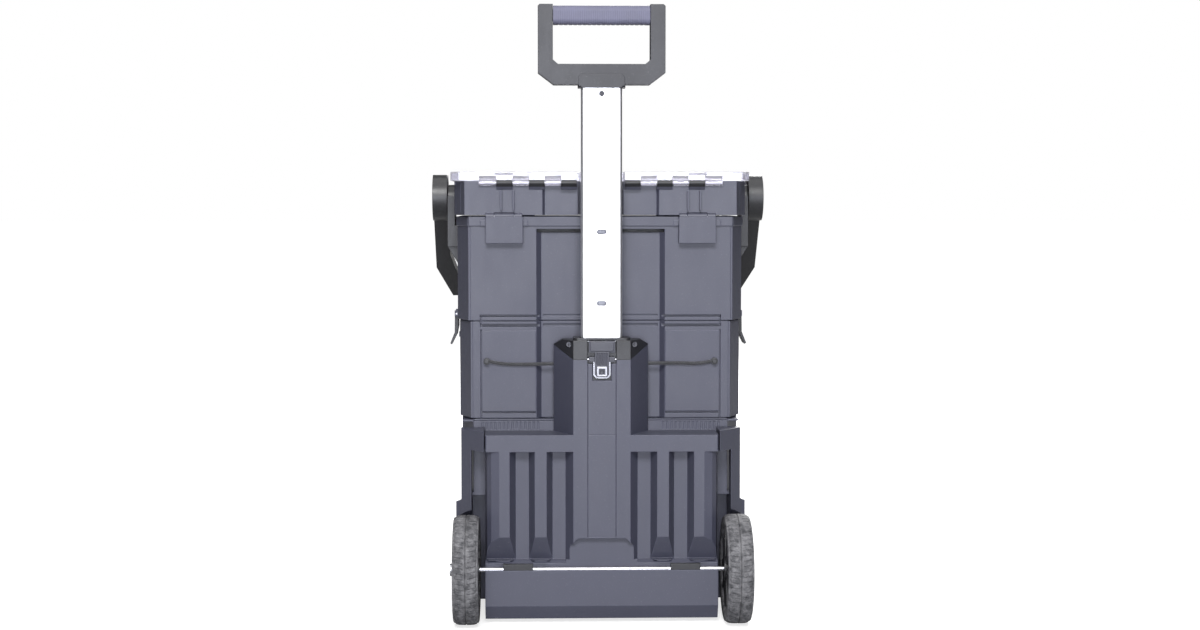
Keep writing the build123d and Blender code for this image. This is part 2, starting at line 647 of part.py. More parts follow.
# --- top box ---
def make_top_box():
    with BuildPart() as top_box:
        plan(box_plan(TOP_HALF), TOP_BOTTOM, 636)
        plan(box_plan(TOP_HALF, False), 636, TOP_RIM)
        inner = [(-231, -170), (-219, -196), (219, -196), (231, -170), (231, 38), (213, 74), (-213, 74), (-231, 38)]
        plan(inner, TOP_BOTTOM + WALL, TOP_RIM + 1, Mode.SUBTRACT)
        plan([(x * 0.97, y * 0.93) for x, y in box_plan(TOP_HALF)], MID_TOP, TOP_BOTTOM)
        # rim roll, hinge pads, groove above the seam
        rim_plan = mirrored([(TOP_HALF + 2, 30), (TOP_HALF + 2, REAR - CORNER_Y), (TOP_HALF - CORNER_X, REAR + 2.5)])
        plan(rim_plan, 641, TOP_RIM)
        slab((-219, 219), (20, 68), (630, 660), Mode.SUBTRACT)
        slab((-209, 209), (20, 88), (630, 660), Mode.SUBTRACT)
        for side in SIDES:
            slab((side * 119, side * 196), (REAR, REAR + 4), (641, 650))
            slab((side * 127, side * 187), (REAR, HINGE_COVER), (613, 648))
            slab((side * 127, side * 187), (HINGE_COVER - 1.7, HINGE_COVER), (640, 655.5))
        slab((-197, 197), (REAR - 7, REAR + 3), (492.5, 496), Mode.SUBTRACT)
        slab((-94, 94), (REAR - RECESS_DEPTH - 2, REAR), (492.5, 496), Mode.SUBTRACT)
        for side in SIDES:
            slab((side * 194, side * 197), (REAR - 6, REAR + 3), (TOP_BOTTOM - 1, 496), Mode.SUBTRACT)
        corner_grooves(TOP_HALF, TOP_BOTTOM, TOP_RIM)
        for side in SIDES:
            # side latch ears
            for y0, y1 in ((-78, -71), (-29, -22)):
                slab((side * TOP_HALF, side * 243), (y0, y1), (487, 497))
            rod_y(side * 239.8, 491.5, 1.5 + RUN_FIT, -79, -21, Mode.SUBTRACT)
            # front latch catches
            slab((side * 105, side * 155), (FRONT - 4, FRONT + 2), (610, 616))
            # ledges that carry the tray
            slab((side * 224, side * 232), (-110, 36), (588, 594))
            # lid hinge knuckle
            slab((side * 141, side * 173), (REAR, LID_AXIS[0] + 4), (640, 652))
            rod_x(LID_AXIS[0], LID_AXIS[1], 5.5, side * 141, side * 173)
            rod_x(LID_AXIS[0], LID_AXIS[1], PIN_R + RUN_FIT, side * 140, side * 174, Mode.SUBTRACT)
            for x0, x1 in ((127, 140.6), (173.4, 188)):
                rod_x(LID_AXIS[0], LID_AXIS[1], 6.2, side * x0, side * x1, Mode.SUBTRACT)
    return top_box.part


def make_tote_tray():
    with BuildPart() as tote_tray:
        slab((-227, 227), (-100, 30), (594.2, 598))
        slab((-222, 222), (-100, 30), (560, 650))
        slab((-219, 219), (-97, 27), (563, 651), Mode.SUBTRACT)
        slab((-30, 30), (-37, -33), (563, 654))
        slab((-219, 219), (-36.5, -33.5), (563, 600))
    return tote_tray.part


def make_front_latch(side):
    x = side * 130
    with BuildPart() as front_latch:
        slab((x - 22, x + 22), (FRONT - 11, FRONT - 5.6), (604, 668))
        rod_x(FRONT - 8.5, 668, 3.4, x - 22, x + 22)
        slab((x - 22, x + 22), (FRONT - 8, FRONT - 0.8), (604, 609.4))
        rod_x(FRONT - 8.5, 668, 1.5 + RUN_FIT, x - 23, x + 23, Mode.SUBTRACT)
    return front_latch.part


def make_side_latch(side):
    shape = [(236.8, 491.5), (243, 491.5), (243.4, 460), (251, 441), (248, 439), (239.4, 456), (236.8, 470)]
    with BuildPart() as side_latch:
        rear_profile([(side * x, z) for x, z in shape], -70.4, -29.6)
        rod_y(side * 239.8, 491.5, 3.1, -70.4, -29.6)
        rod_y(side * 239.8, 491.5, 1.5 + RUN_FIT, -71, -29, Mode.SUBTRACT)
    return side_latch.part


def make_side_latch_pins():
    with BuildPart() as side_latch_pins:
        for side in SIDES:
            rod_y(side * 239.8, 491.5, 1.5, -78, -22)
    return side_latch_pins.part


def make_bail_brackets():
    with BuildPart() as bail_brackets:
        for side in SIDES:
            slab((side * TOP_HALF, side * 255.6), (-112, -48), (604, 640))
            slab((side * 243, side * 255.6), (-112, -48), (640, 690))
            rod_x(BAIL_Y, BAIL_Z, 22, side * 243, side * 255.6)
            gusset = [(side * TOP_HALF, 604), (side * 255.6, 604), (side * TOP_HALF, 570)]
            rear_profile(gusset, -106, -100)
            rear_profile(gusset, -60, -54)
            rod_x(BAIL_Y, BAIL_Z, 6, side * 242, side * 257, Mode.SUBTRACT)
    return bail_brackets.part


def bail_plane():
    """Local x along +X, local y down the hanging arms."""
    down = math.radians(BAIL_ANGLE)
    normal = Vector(0, math.cos(down), -math.sin(down))
    return Plane(origin=(0, BAIL_Y, BAIL_Z), x_dir=(1, 0, 0), z_dir=normal)


def make_bail_frame():
    plane = bail_plane()
    sign = 1 if plane.y_dir.Z < 0 else -1
    outline = [(BAIL_IN, -20), (BAIL_OUT, -20), (BAIL_OUT, 157), (254, 226), (-254, 226), (-BAIL_OUT, 157)]
    outline += [(-BAIL_OUT, -20), (-BAIL_IN, -20), (-BAIL_IN, 127), (-236, 206), (236, 206), (BAIL_IN, 127)]
    with BuildPart() as bail_frame:
        with BuildSketch(plane.offset(-9)) as shape:
            with BuildLine():
                Polyline(*[(x, sign * u) for x, u in outline], close=True)
            make_face()
        extrude(shape.sketch, amount=18)
        for side in SIDES:
            rod_x(BAIL_Y, BAIL_Z, 39, side * BAIL_IN, side * BAIL_OUT)
            rod_x(BAIL_Y, BAIL_Z, 30, side * (BAIL_OUT - 3), side * (BAIL_OUT + 1), Mode.SUBTRACT)
            rod_x(BAIL_Y, BAIL_Z, 6.1, side * (BAIL_IN - 1), side * BAIL_OUT, Mode.SUBTRACT)
    return bail_frame.part


def make_bail_grip():
    plane = bail_plane()
    sign = 1 if plane.y_dir.Z < 0 else -1
    with BuildPart() as bail_grip:
        with BuildSketch(Plane(plane.from_local_coords((-72, sign * 216, 0)), x_dir=plane.z_dir, z_dir=(1, 0, 0))) as section:
            RectangleRounded(26, 30, 8)
            Rectangle(18, 20, mode=Mode.SUBTRACT)
        extrude(section.sketch, amount=144)
    return bail_grip.part


def make_bail_pivots():
    with BuildPart() as bail_pivots:
        for side in SIDES:
            rod_x(BAIL_Y, BAIL_Z, 6, side * 244, side * (BAIL_OUT - 3))
            rod_x(BAIL_Y, BAIL_Z, 13, side * (BAIL_OUT - 2.6), side * (BAIL_OUT - 0.4))
            rod_x(BAIL_Y, BAIL_Z, 6, side * (BAIL_OUT - 3), side * (BAIL_OUT - 2.6))
    return bail_pivots.part


# --- lid and clear covers ---
def make_lid():
    rear = [(LID_HALF - 18, 96), (95, 96), (91, 88), (37, 88), (37, 50)]
    front = [(LID_HALF - 12, FRONT - 4), (LID_HALF, FRONT + 20), (LID_HALF, 50)]
    with BuildPart() as lid:
        plan(mirrored(front + rear), LID_BOTTOM, LID_TOP)
        for side in SIDES:
            # two wells with a centre wall each side, under the clear covers
            slab((side * 10, side * 228), (-192, 44), (664, 720), Mode.SUBTRACT)
            slab((side * 44, side * 228), (43, 80), (664, 720), Mode.SUBTRACT)
            slab((side * 117, side * 120), (-193, 81), (663, LID_TOP - 2))
            slab((side * 9, side * 229), (-60, -57), (663, LID_TOP - 2))
            # shallow underside
            slab((side * 12, side * 226), (-188, 40), (658, 661), Mode.SUBTRACT)
            # ribs on the rear shoulders
            for x in (142, 162):
                slab((side * (x - 1.5), side * (x + 1.5)), (95, 103), (666, 698.5))
            # room for the cover knuckles, then the lid's own knuckles
            rod_x(COVER_AXIS[0], COVER_AXIS[1], 5.6, side * 38.6, side * 198.6, Mode.SUBTRACT)
            for x0, x1 in ((39, 64.6), (91.4, 116.6), (143.4, 169.6)):
                rod_x(COVER_AXIS[0], COVER_AXIS[1], COVER_KNUCKLE_R, side * x0, side * x1)
                arm = [(86, 702), (86, 709), (98, 714), (104, 709), (97, 700)]
                side_profile(arm, side * x0, side * x1)
            rod_x(COVER_AXIS[0], COVER_AXIS[1], PIN_R + RUN_FIT, side * 38, side * 199, Mode.SUBTRACT)
            # lid hinge knuckles beside the box's one
            rod_x(LID_AXIS[0], LID_AXIS[1], 6.2, side * 140.4, side * 173.6, Mode.SUBTRACT)
            for x0, x1 in ((128, 140.4), (173.6, 187)):
                rod_x(LID_AXIS[0], LID_AXIS[1], 5.5, side * x0, side * x1)
            rod_x(LID_AXIS[0], LID_AXIS[1], PIN_R + RUN_FIT, side * 120, side * 190, Mode.SUBTRACT)
            # front latch ears
            for x0, x1 in ((101, 107), (153, 159)):
                slab((side * x0, side * x1), (FRONT - 12, FRONT - 3), (663, 673))
            rod_x(FRONT - 8.5, 668, 1.5 + RUN_FIT, side * 100, side * 160, Mode.SUBTRACT)
    return lid.part


def make_lid_hinge_pins():
    with BuildPart() as lid_hinge_pins:
        for side in SIDES:
            rod_x(LID_AXIS[0], LID_AXIS[1], PIN_R, side * 128, side * 187)
    return lid_hinge_pins.part


def make_front_latch_pins():
    with BuildPart() as front_latch_pins:
        for side in SIDES:
            rod_x(FRONT - 8.5, 668, 1.5, side * 101, side * 159)
    return front_latch_pins.part


def make_organizer_cups():
    with BuildPart() as organizer_cups:
        for side in SIDES:
            for x0, y0, y1 in ((12, -190, -62), (46, -55, 42)):
                slab((side * x0, side * 115), (y0, y1), (664, 706))
                slab((side * (x0 + 1.6), side * 113.4), (y0 + 1.6, y1 - 1.6), (666, 707), Mode.SUBTRACT)
    return organizer_cups.part


def cover_plan(side, inset, rear):
    points = [(3 + inset, FRONT - 6 + inset), (236 - inset, FRONT - 6 + inset), (245.5 - inset, FRONT + 16)]
    points += [(245.5 - inset, 60), (232 - inset, rear), (38.5 + inset, rear), (38.5 + inset, 48 - inset)]
    points += [(3 + inset, 48 - inset)]
    return [(side * x, y) for x, y in points]


def make_clear_cover(side):
    with BuildPart() as clear_cover:
        plan(cover_plan(side, 0, 94), 714.6, 729)
        plan(cover_plan(side, 2.6, 91.4), 710, 726.4, Mode.SUBTRACT)
        for x0, x1 in ((65.2, 90.8), (117.2, 142.8), (170.2, 198)):
            arm = [(91, 716), (91, 722), (99, 722), (104, 713), (104.4, 711), (97, 711), (96.6, 715)]
            side_profile(arm, side * x0, side * x1)
            rod_x(COVER_AXIS[0], COVER_AXIS[1], COVER_KNUCKLE_R, side * x0, side * x1)
        rod_x(COVER_AXIS[0], COVER_AXIS[1], PIN_R + RUN_FIT, side * 38, side * 199, Mode.SUBTRACT)
        slab((side * 143.4, side * 172), (86, 100), (724, 730), Mode.SUBTRACT)
        slab((side * 142, side * 174), (84, 91), (716, 724.6))
        for x0, x1 in ((95, 101), (139, 145)):
            slab((side * x0, side * x1), (FRONT - 11, FRONT - 5), (716, 725))
        rod_x(FRONT - 8.6, 720.5, 1.2 + RUN_FIT, side * 94, side * 146, Mode.SUBTRACT)
    return clear_cover.part


def make_cover_hinge_pins():
    with BuildPart() as cover_hinge_pins:
        for side in SIDES:
            rod_x(COVER_AXIS[0], COVER_AXIS[1], PIN_R, side * 39, side * 198)
    return cover_hinge_pins.part


def make_cover_latch(side):
    x = side * 120
    with BuildPart() as cover_latch:
        slab((x - 18, x + 18), (FRONT - 11, FRONT - 6.8), (695, 720))
        rod_x(FRONT - 8.6, 720.5, 2.6, x - 18, x + 18)
        slab((x - 18, x + 18), (FRONT - 8, FRONT - 4.6), (695, 698))
        rod_x(FRONT - 8.6, 720.5, 1.2, x - 24.5, x + 24.5)
    return cover_latch.part


save(make_base_bin(), "base_bin")
save(make_rear_frame(), "rear_frame")
save(make_column_strip(), "column_strip")
save(make_column_cap(), "column_cap")
save(make_cap_screws(), "cap_screws")
save(make_pole_guide(), "pole_guide")
save(make_axle(), "axle")
save(make_axle_clips(), "axle_clips")
save(make_front_feet(), "front_feet")
save(make_base_door(), "base_door")
save(make_base_door_pin(), "base_door_pin")
save(make_base_latch(), "base_latch")
save(make_axle_caps(), "axle_caps")
save(make_middle_case(), "middle_case")
save(make_cord_anchors(), "cord_anchors")
save(make_rear_cord(), "rear_cord")
save(make_rails(195.6, 200.0, -178, 66), "slide_outer")
save(make_rails(191.0, 195.2, -178, 64), "slide_middle")
save(make_rails(186.0, 190.6, -178, 62), "slide_inner")
save(make_drawer_tub(), "drawer_tub")
save(make_drawer_front(), "drawer_front")
save(make_drawer_pull(), "drawer_pull")
save(make_drawer_divider(), "drawer_divider")
save(make_drawer_latch(), "drawer_latch")
save(make_drawer_latch_hinge(), "drawer_latch_hinge")
save(make_pole(), "pole")
save(make_pole_foot(), "pole_foot")
save(make_handle_screw(), "handle_screw")
save(make_grip_frame(), "grip_frame")
save(make_grip_socket(), "grip_socket")
save(make_grip_sleeve(), "grip_sleeve")
save(make_release_lever(), "release_lever")
save(make_lever_pin(), "lever_pin")
save(make_lock_plate(), "lock_plate")
save(make_top_box(), "top_box")
save(make_tote_tray(), "tote_tray")
save(make_side_latch_pins(), "side_latch_pins")
save(make_bail_frame(), "bail_frame")
save(make_bail_grip(), "bail_grip")
save(make_bail_pivots(), "bail_pivots")
save(make_bail_brackets(), "bail_brackets")
save(make_lid(), "lid")
save(make_lid_hinge_pins(), "lid_hinge_pins")
save(make_front_latch_pins(), "front_latch_pins")
save(make_organizer_cups(), "organizer_cups")
save(make_cover_hinge_pins(), "cover_hinge_pins")
for side, word in ((1, "left"), (-1, "right")):
    save(make_fender(side), "fender_" + word)
    save(make_tyre(side), "tyre_" + word)
    save(make_hub(side), "hub_" + word)
    save(make_side_latch(side), "side_latch_" + word)
    save(make_front_latch(side), "front_latch_" + word)
    save(make_clear_cover(side), "clear_cover_" + word)
    save(make_cover_latch(side), "cover_latch_" + word)
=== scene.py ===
import json
import math

import bmesh
import bpy
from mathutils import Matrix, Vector


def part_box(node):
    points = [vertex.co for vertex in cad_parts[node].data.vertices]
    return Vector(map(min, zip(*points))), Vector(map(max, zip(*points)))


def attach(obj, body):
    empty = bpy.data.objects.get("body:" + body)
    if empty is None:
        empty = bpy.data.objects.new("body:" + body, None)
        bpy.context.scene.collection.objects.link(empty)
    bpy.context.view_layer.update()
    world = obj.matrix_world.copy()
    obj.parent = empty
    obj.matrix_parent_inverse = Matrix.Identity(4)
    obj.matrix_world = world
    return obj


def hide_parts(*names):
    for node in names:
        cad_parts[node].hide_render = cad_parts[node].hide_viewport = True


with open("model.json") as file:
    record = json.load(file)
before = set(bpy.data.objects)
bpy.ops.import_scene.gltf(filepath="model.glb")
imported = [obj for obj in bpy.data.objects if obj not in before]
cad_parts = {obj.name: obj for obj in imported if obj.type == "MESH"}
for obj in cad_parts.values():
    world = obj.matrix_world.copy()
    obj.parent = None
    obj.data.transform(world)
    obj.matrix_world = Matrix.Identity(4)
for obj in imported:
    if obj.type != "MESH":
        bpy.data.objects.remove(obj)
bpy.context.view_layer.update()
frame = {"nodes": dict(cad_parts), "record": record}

NODES = frame["nodes"]
MM = 0.001
DUST = (0.33, 0.32, 0.32)
KNUCKLE_BLACK = (0.009, 0.009, 0.011)


# ---------- procedural materials ----------
class Tree:
    """A material's node tree with one Principled shader."""

    def __init__(self, name, rough=0.5, metallic=0.0, specular=0.5):
        self.mat = bpy.data.materials.new(name)
        self.mat.use_nodes = True
        self.tree = self.mat.node_tree
        self.tree.nodes.clear()
        self.out = self.add("ShaderNodeOutputMaterial")
        self.shader = self.add("ShaderNodeBsdfPrincipled")
        self.link(self.shader.outputs[0], self.out.inputs["Surface"])
        self.shader.inputs["Roughness"].default_value = rough
        self.shader.inputs["Metallic"].default_value = metallic
        self.shader.inputs["Specular IOR Level"].default_value = specular
        self.coords = self.add("ShaderNodeTexCoord").outputs["Object"]

    def add(self, kind, **settings):
        node = self.tree.nodes.new(kind)
        for key, value in settings.items():
            setattr(node, key, value)
        return node

    def link(self, a, b):
        self.tree.links.new(a, b)

    def stretched(self, scale):
        node = self.add("ShaderNodeMapping")
        node.inputs["Scale"].default_value = scale
        self.link(self.coords, node.inputs["Vector"])
        return node.outputs[0]

    def separated(self):
        node = self.add("ShaderNodeSeparateXYZ")
        self.link(self.coords, node.inputs[0])
        return node.outputs

    def noise(self, scale, detail=2.0, rough=0.5, stretch=None):
        node = self.add("ShaderNodeTexNoise")
        node.inputs["Scale"].default_value = scale
        node.inputs["Detail"].default_value = detail
        node.inputs["Roughness"].default_value = rough
        self.link(self.stretched(stretch) if stretch else self.coords, node.inputs["Vector"])
        return node.outputs["Fac"]

    def remap(self, value, low, high, out_low=0.0, out_high=1.0):
        node = self.add("ShaderNodeMapRange")
        node.inputs["From Min"].default_value = low
        node.inputs["From Max"].default_value = high
        node.inputs["To Min"].default_value = out_low
        node.inputs["To Max"].default_value = out_high
        self.link(value, node.inputs["Value"])
        return node.outputs[0]

    def math(self, operation, a, b):
        node = self.add("ShaderNodeMath", operation=operation)
        for socket, value in zip(node.inputs, (a, b)):
            if isinstance(value, (int, float)):
                socket.default_value = value
            else:
                self.link(value, socket)
        return node.outputs[0]

    def mix(self, factor, a, b):
        node = self.add("ShaderNodeMix", data_type="RGBA")
        if isinstance(factor, (int, float)):
            node.inputs[0].default_value = factor
        else:
            self.link(factor, node.inputs[0])
        for socket, value in ((node.inputs[6], a), (node.inputs[7], b)):
            if isinstance(value, tuple):
                socket.default_value = (*value, 1.0)
            else:
                self.link(value, socket)
        return node.outputs[2]

    def bump(self, height, distance, strength=1.0, below=None):
        node = self.add("ShaderNodeBump")
        node.inputs["Strength"].default_value = strength
        node.inputs["Distance"].default_value = distance
        self.link(height, node.inputs["Height"])
        if below is not None:
            self.link(below, node.inputs["Normal"])
        return node.outputs[0]

    def rounded(self, radius):
        node = self.add("ShaderNodeBevel", samples=6)
        node.inputs["Radius"].default_value = radius
        return node.outputs[0]

    def edges(self, soft):
        """1 on an edge, 0 on the flat."""
        geometry = self.add("ShaderNodeNewGeometry")
        dot = self.add("ShaderNodeVectorMath", operation="DOT_PRODUCT")
        self.link(soft, dot.inputs[0])
        self.link(geometry.outputs["Normal"], dot.inputs[1])
        return self.remap(dot.outputs["Value"], 0.995, 0.86)

    def done(self, color, rough, normal):
        self.link(color, self.shader.inputs["Base Color"])
        self.link(rough, self.shader.inputs["Roughness"])
        self.link(normal, self.shader.inputs["Normal"])
        return self.mat


def scaled(color, factor):
    return tuple(min(1.0, c * factor) for c in color)


def moulded(name, color, rough=0.5, grain=1400.0, depth=0.00006, edge_wear_and_highlight=0.5, dust=0.15,
            specular=0.45, soft=0.0014, dark_above=None):
    """Moulded plastic: fine grain, faint flow clouds, edges lightened partly as rubbed wear and partly as a
    painted highlight, light dust.

    dark_above gives a Y and a Z; what lies beyond both is black.
    """
    t = Tree(name, specular=specular)
    clouds = t.noise(7.0, 4.0, 0.6)
    fine = t.noise(grain, 2.0, 0.6)
    rubs = t.noise(60.0, 5.0, 0.7, (1.0, 1.0, 0.25))
    smooth = t.rounded(soft)
    # edges lightened towards 3.4 times the colour: partly rubbed wear, partly a painted highlight along every
    # edge
    edge = t.math("MULTIPLY", t.edges(smooth), t.remap(rubs, 0.35, 0.65, 0.15, 1.0))
    body = t.mix(t.remap(clouds, 0.3, 0.7), scaled(color, 0.93), scaled(color, 1.07))
    body = t.mix(t.math("MULTIPLY", edge, edge_wear_and_highlight), body, scaled(color, 3.4))
    specks = t.remap(t.noise(420.0, 3.0, 0.7), 0.62, 0.75)
    body = t.mix(t.math("MULTIPLY", specks, dust), body, DUST)
    if dark_above:
        place = t.separated()
        behind = t.math("GREATER_THAN", place["Y"], dark_above[0])
        above = t.math("GREATER_THAN", place["Z"], dark_above[1])
        body = t.mix(t.math("MULTIPLY", behind, above), body, KNUCKLE_BLACK)
    gloss = t.remap(t.math("ADD", clouds, t.math("MULTIPLY", rubs, 0.6)), 0.5, 1.1, rough - 0.06, rough + 0.08)
    scratch = t.remap(t.noise(900.0, 1.0, 0.5, (1.0, 1.0, 0.02)), 0.68, 0.74)
    height = t.math("SUBTRACT", fine, t.math("MULTIPLY", scratch, 0.25))
    return t.done(body, gloss, t.bump(height, depth, 1.0, smooth))


def brushed(name, color, rough, along, depth=0.00003, soft=0.001, metallic=1.0, painted_shade_inside=None):
    """Drawn or brushed metal with hairlines along one direction.

    The last argument gives half a width in X, and the Y between which a tube's inside lies; there the metal is
    painted darker, a painted shade inside the tube.
    """
    t = Tree(name, metallic=metallic)
    hair = t.noise(500.0, 3.0, 0.6, along)
    clouds = t.noise(9.0, 3.0, 0.6)
    smooth = t.rounded(soft)
    body = t.mix(t.remap(hair, 0.3, 0.7), scaled(color, 0.9), scaled(color, 1.04))
    body = t.mix(t.remap(clouds, 0.55, 0.8, 0.0, 0.25), body, scaled(color, 0.8))
    if painted_shade_inside:
        half_width, near, far = painted_shade_inside
        place = t.separated()
        across = t.math("LESS_THAN", t.math("ABSOLUTE", place["X"], 0.0), half_width)
        behind = t.math("GREATER_THAN", place["Y"], near)
        deep = t.math("MULTIPLY", behind, t.math("LESS_THAN", place["Y"], far))
        # painted shade: the tube's inside walls are painted dark grey
        body = t.mix(t.math("MULTIPLY", across, deep), body, (0.16, 0.16, 0.175))
    gloss = t.remap(t.math("ADD", hair, clouds), 0.6, 1.4, rough - 0.08, rough + 0.1)
    return t.done(body, gloss, t.bump(hair, depth, 1.0, smooth))


def rubber(name, color, rough=0.75, dirt=0.4, dirt_color=(0.16, 0.145, 0.125)):
    """Rubber with a matte skin and road dust caught in patches."""
    t = Tree(name, specular=0.3)
    patches = t.noise(95.0, 6.0, 0.72)
    fine = t.noise(900.0, 3.0, 0.6)
    smooth = t.rounded(0.0008)
    body = t.mix(t.remap(fine, 0.3, 0.7), scaled(color, 0.85), scaled(color, 1.15))
    body = t.mix(t.math("MULTIPLY", t.remap(patches, 0.38, 0.66), dirt), body, dirt_color)
    gloss = t.remap(patches, 0.3, 0.7, rough - 0.1, min(1.0, rough + 0.15))
    return t.done(body, gloss, t.bump(t.math("ADD", fine, patches), 0.0002, 1.0, smooth))


def ribbed_grip(name, color, axis_scale):
    """Soft grip rubber with fine raised ribs."""
    t = Tree(name, specular=0.35)
    wave = t.add("ShaderNodeTexWave", wave_type="BANDS", bands_direction="X")
    wave.inputs["Scale"].default_value = axis_scale
    wave.inputs["Distortion"].default_value = 0.0
    t.link(t.coords, wave.inputs["Vector"])
    clouds = t.noise(30.0, 4.0, 0.6)
    fine = t.noise(1600.0, 2.0, 0.6)
    body = t.mix(t.remap(clouds, 0.35, 0.7), scaled(color, 0.9), scaled(color, 1.1))
    # painted shade: the grooves between the raised ribs are painted darker
    body = t.mix(t.remap(wave.outputs["Fac"], 0.0, 0.35, 0.12, 0.0), body, scaled(color, 0.45))
    gloss = t.remap(clouds, 0.3, 0.7, 0.5, 0.66)
    height = t.math("ADD", wave.outputs["Fac"], t.math("MULTIPLY", fine, 0.15))
    return t.done(body, gloss, t.bump(height, 0.0002, 0.6, t.rounded(0.001)))


def clear(name, color):
    """Clear cover: slightly hazy, faint scuffs."""
    t = Tree(name, specular=0.5)
    t.shader.inputs["Transmission Weight"].default_value = 0.85
    t.shader.inputs["IOR"].default_value = 1.46
    scuff = t.noise(240.0, 5.0, 0.7, (1.0, 0.3, 1.0))
    haze = t.noise(14.0, 3.0, 0.6)
    body = t.mix(t.remap(haze, 0.3, 0.7), scaled(color, 0.94), scaled(color, 1.04))
    gloss = t.remap(t.math("ADD", scuff, haze), 0.7, 1.4, 0.05, 0.2)
    return t.done(body, gloss, t.bump(scuff, 0.00001, 0.6, t.rounded(0.0012)))


def braided(name, color):
    """Elastic cord's woven cover."""
    t = Tree(name, specular=0.3)
    t.shader.inputs["Sheen Weight"].default_value = 0.3
    weave = t.add("ShaderNodeTexVoronoi")
    weave.inputs["Scale"].default_value = 900.0
    t.link(t.stretched((0.5, 1.0, 1.0)), weave.inputs["Vector"])
    body = t.mix(t.remap(weave.outputs["Distance"], 0.1, 0.6), scaled(color, 1.5), scaled(color, 0.6))
    gloss = t.remap(t.noise(80.0), 0.3, 0.7, 0.6, 0.8)
    return t.done(body, gloss, t.bump(weave.outputs["Distance"], 0.0004, -0.7))


GREY = (0.045, 0.0465, 0.068)
LOOKS = {
    "main_plastic": moulded("moulded_grey", GREY, 0.47, 1300.0, 0.00007),
    "dark_plastic": moulded("moulded_black", (0.012, 0.012, 0.014), 0.4, 1500.0, 0.00005, 0.3),
    "handle_plastic": moulded("handle_black", (0.013, 0.013, 0.017), 0.44, 1500.0, 0.00005, 0.4),
    "cup_plastic": moulded("cup_grey", (0.06, 0.06, 0.068), 0.4, 1500.0, 0.00004, 0.2, 0.05),
    "grip_rubber": ribbed_grip("grip_rubber", (0.105, 0.105, 0.155), 90.0),
    "clear_plastic": clear("clear_cover", (0.80, 0.79, 0.87)),
    "pole_metal": brushed("satin_aluminium", (0.93, 0.93, 0.95), 0.38, (1.0, 1.0, 0.015), metallic=0.8,
                          painted_shade_inside=(0.0322, 0.1175, 0.1403)),
    "steel": brushed("zinc_steel", (0.5, 0.5, 0.53), 0.34, (0.02, 1.0, 1.0)),
    "tyre_rubber": rubber("tyre_rubber", (0.042, 0.042, 0.046), 0.7, 0.75, (0.21, 0.207, 0.215)),
    "feet_rubber": rubber("feet_rubber", (0.02, 0.02, 0.02)),
    "cord_elastic": braided("cord_cover", (0.03, 0.03, 0.034)),
}
SLOT_OF = {row["node"]: row["material_slot"] for row in frame["record"]["subparts"]}


def dress(node, look):
    NODES[node].data.materials.clear()
    NODES[node].data.materials.append(look)


for node_name in NODES:
    dress(node_name, LOOKS[SLOT_OF[node_name]])
# the cover hinge knuckles along the lid's rear edge are black
dress("lid", moulded("lid_grey", GREY, 0.45, 1300.0, 0.00007, dark_above=(0.0974, 0.7045)))
dress("lock_plate", brushed("dull_steel", (0.3, 0.3, 0.32), 0.4, (0.05, 1.0, 1.0)))
dress("release_lever", moulded("lever_grey", (0.026, 0.0265, 0.038), 0.4, 1500.0, 0.00005, 0.6))
black_screw = brushed("black_screw", (0.05, 0.05, 0.055), 0.35, (1.0, 1.0, 1.0))
for screw in ("cap_screws", "handle_screw"):
    dress(screw, black_screw)


# ---------- mesh helpers ----------
def link_mesh(name, bm, slot):
    mesh = bpy.data.meshes.new(name)
    bmesh.ops.recalc_face_normals(bm, faces=bm.faces)
    bm.to_mesh(mesh)
    bm.free()
    obj = bpy.data.objects.new(name, mesh)
    bpy.context.scene.collection.objects.link(obj)
    mesh.materials.append(LOOKS[slot])
    return obj


# ---------- camera first ----------
EYE = Vector((0.100, 3.352, 0.683))
AIM = Vector((0.003, 0.152, 0.499))
camera = bpy.data.objects.new("camera", bpy.data.cameras.new("camera"))
camera.data.lens = 60.0
camera.data.sensor_width = 36.0
camera.location = EYE
camera.rotation_euler = (AIM - EYE).to_track_quat("-Z", "Y").to_euler()
bpy.context.scene.collection.objects.link(camera)
bpy.context.scene.camera = camera

# ---------- elastic cord across the back ----------
CORD_Y = 94.6
CORD_ROUTE = (
    (182.0, 420.2), (164.0, 415.8), (128.0, 414.8), (66.0, 416.6), (0.0, 417.0),
    (-66.0, 416.4), (-128.0, 417.2), (-164.0, 415.6), (-182.0, 420.2),
)
curve = bpy.data.curves.new("elastic_cord", "CURVE")
curve.dimensions = "3D"
curve.bevel_depth = 0.0028
curve.bevel_resolution = 4
curve.resolution_u = 12
curve.use_fill_caps = True
spline = curve.splines.new("NURBS")
spline.points.add(len(CORD_ROUTE) - 1)
for point, (x, z) in zip(spline.points, CORD_ROUTE):
    point.co = (x * MM, CORD_Y * MM, z * MM, 1.0)
spline.order_u = 3
spline.use_endpoint_u = True
cord = bpy.data.objects.new("elastic_cord", curve)
bpy.context.scene.collection.objects.link(cord)
curve.materials.append(LOOKS["cord_elastic"])
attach(cord, "chassis")
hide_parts("rear_cord")


# ---------- tyres, in mm about their own centre ----------
TREAD_BLOCKS = 64
TREAD_RINGS = 36  # steps across the tread
TURN_STEPS = 512
SHOULDER = 2.2  # the tread stops this far inside the widest part
BEAD = ((3.6, 68.2), (1.6, 69.5), (0.5, 73.5), (0.1, 78.0), (0.3, 81.6), (1.0, 84.0))  # inset, radius
BLOCK_SHIFT = 0.02  # the two halves of the tread don't line up


def tyre_drop(angle, across, half):
    """How far the tread lies below the crown at this place."""
    outer = abs(across) / half
    if 0.80 <= outer < 0.86:
        return 0.9
    if 0.16 < outer < 0.80:
        slant = angle / (2 * math.pi) * TREAD_BLOCKS - 0.45 * (outer - 0.16)
        if slant % 1.0 < 0.17:
            return 1.3
    return 1.6 if abs(across) < 0.9 else 0.0


